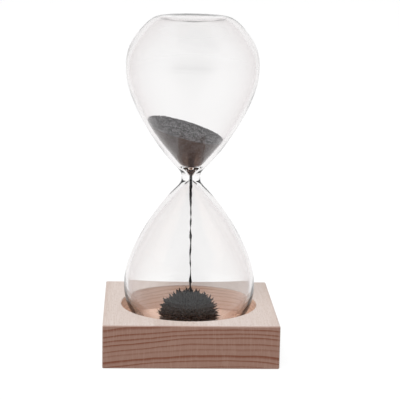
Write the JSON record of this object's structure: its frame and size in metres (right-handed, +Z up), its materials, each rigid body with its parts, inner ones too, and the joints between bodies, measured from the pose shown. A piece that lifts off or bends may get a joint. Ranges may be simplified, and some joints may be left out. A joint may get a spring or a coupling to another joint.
{
  "type": "magnetic hourglass",
  "caption": "Blown glass hourglass of iron filings standing in a round recess of a square wooden block; a hidden magnet draws the falling filings into a spiky heap.",
  "frame": {"origin": "middle of the wooden block's underside", "axes": "+Z up along the glass's axis; the block's end grain faces -Y, which is the front, and its sides face X and Y"},
  "size_m": [0.08, 0.08, 0.1556],
  "materials": {
    "wood": "oiled beech, sanded smooth, end grain on the front and back",
    "magnet": "dull dark grey ferrite",
    "felt": "thin black felt",
    "glass": "clear blown borosilicate glass",
    "iron_filings": "loose dark grey iron filings"
  },
  "bodies": {
    "base": {"base_block": "wood", "magnet": "magnet", "magnet_cover": "felt"},
    "filings": {"upper_filings": "iron_filings", "filings_stream": "iron_filings", "lower_filings": "iron_filings"},
    "glass": {"glass_vessel": "glass"}
  },
  "joints": [
    {"name": "glass_lift", "type": "slide", "parent": "base", "child": "filings", "axis": [0, 0, 1], "range_m": [0, 0.18]},
    {"name": "turn_over", "type": "hinge", "parent": "filings", "child": "glass", "pos_m": [0, 0, 0.08065], "axis": [0, 1, 0], "range_deg": [0, 180], "deforming": ["upper_filings", "filings_stream", "lower_filings"]}
  ],
  "couplings": [
    {"joint": "turn_over", "follows": "glass_lift", "rad_per_m": 17.453}
  ]
}
